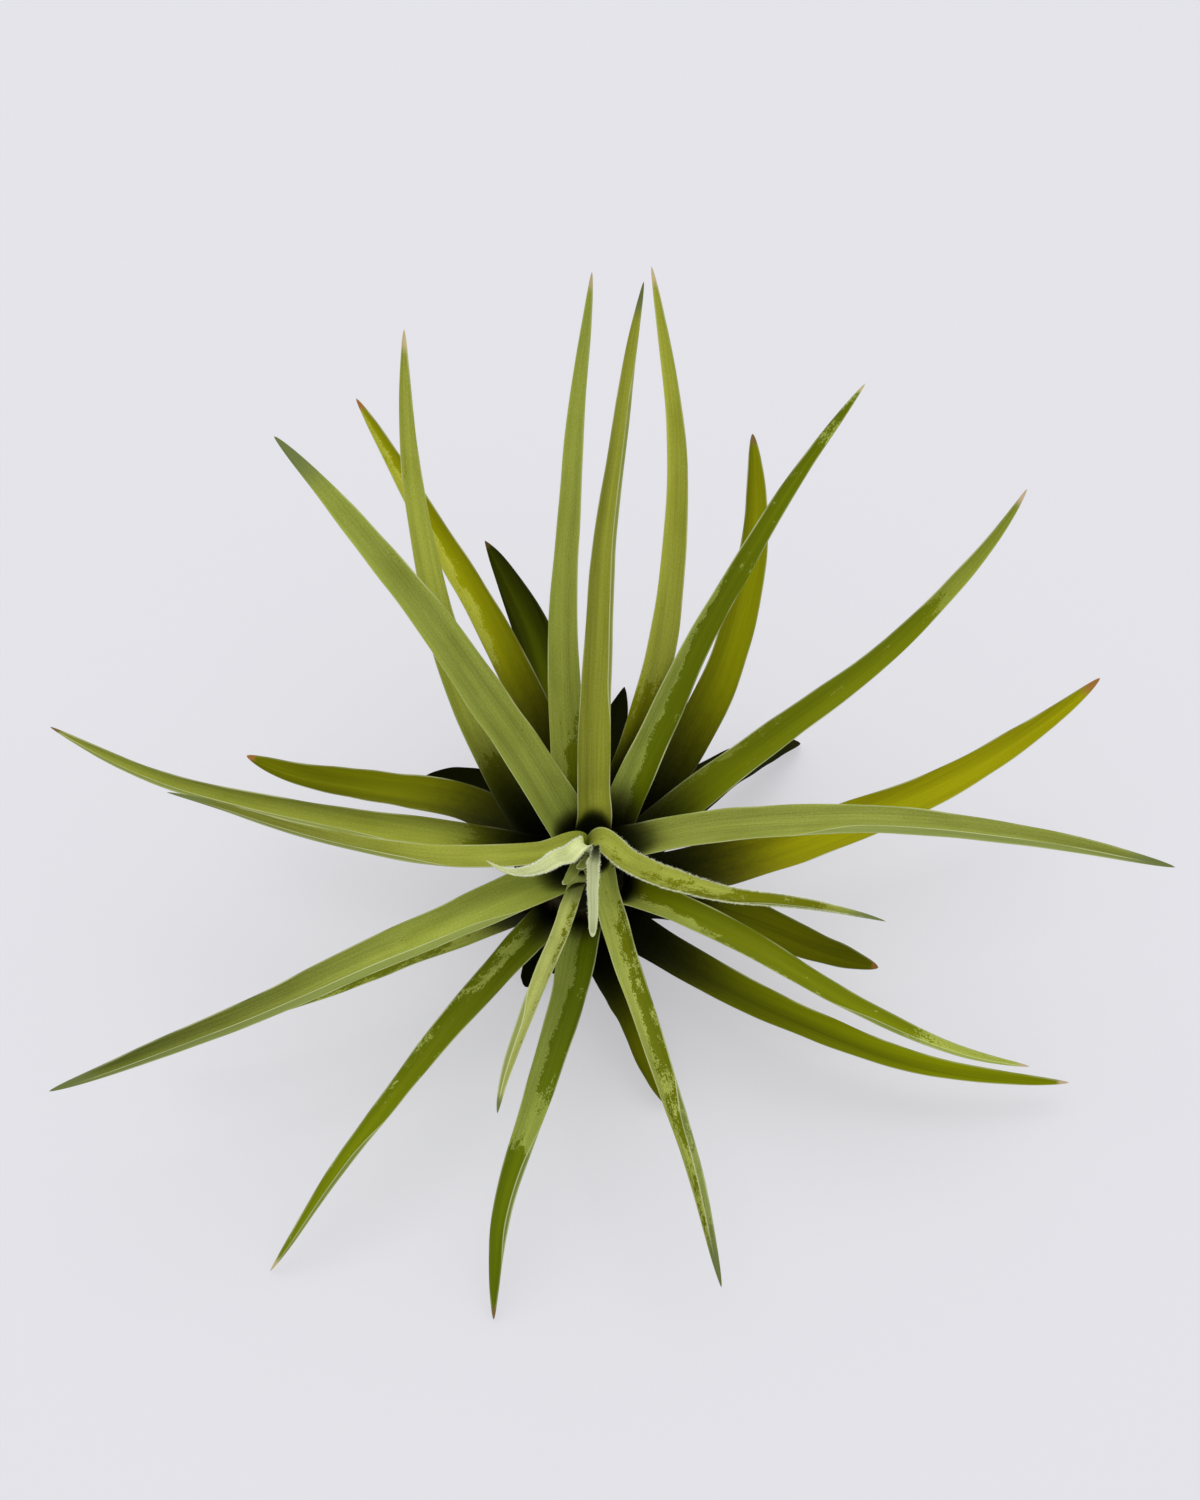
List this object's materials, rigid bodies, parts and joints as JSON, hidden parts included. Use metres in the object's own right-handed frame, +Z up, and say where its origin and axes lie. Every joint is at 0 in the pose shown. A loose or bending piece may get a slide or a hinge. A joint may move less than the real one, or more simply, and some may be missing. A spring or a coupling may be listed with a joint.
{
  "type": "air plant",
  "caption": "Rosette of channelled, tapering, arching leaves round a short leaning stem; it stands on its flat foot.",
  "frame": {"origin": "centre of the flat foot under the stem, on the surface that the plant stands on", "axes": "+Z up; the picture was taken from the -Y side, about 52 degrees above the horizon, with +X to its right"},
  "size_m": [0.226, 0.161, 0.1459],
  "materials": {
    "stem": "dry, fibrous, matt",
    "young_leaf": "woolly, pale with dry scales",
    "inner_leaf": "satin, frosted with fine pale scales",
    "outer_leaf": "satin, frosted with fine pale scales, greener where wet",
    "old_leaf": "satin, dark green, browner towards the base"
  },
  "bodies": {
    "root": {"stem": "stem", "young_leaf_1": "young_leaf", "young_leaf_2": "young_leaf", "young_leaf_3": "young_leaf", "young_leaf_4": "young_leaf", "inner_leaf_1": "inner_leaf", "inner_leaf_2": "inner_leaf", "inner_leaf_3": "inner_leaf", "inner_leaf_4": "inner_leaf", "inner_leaf_5": "inner_leaf", "inner_leaf_6": "inner_leaf", "inner_leaf_7": "inner_leaf", "inner_leaf_8": "inner_leaf", "inner_leaf_9": "inner_leaf", "inner_leaf_10": "inner_leaf", "outer_leaf_1": "outer_leaf", "outer_leaf_2": "outer_leaf", "outer_leaf_3": "outer_leaf", "outer_leaf_4": "outer_leaf", "outer_leaf_5": "outer_leaf", "outer_leaf_6": "outer_leaf", "outer_leaf_7": "outer_leaf", "outer_leaf_8": "outer_leaf", "outer_leaf_9": "outer_leaf", "outer_leaf_10": "outer_leaf", "outer_leaf_11": "outer_leaf", "outer_leaf_12": "outer_leaf", "outer_leaf_13": "outer_leaf", "old_leaf_1": "old_leaf", "old_leaf_2": "old_leaf", "old_leaf_3": "old_leaf", "old_leaf_4": "old_leaf", "old_leaf_5": "old_leaf", "old_leaf_6": "old_leaf", "old_leaf_7": "old_leaf"}
  },
  "joints": []
}
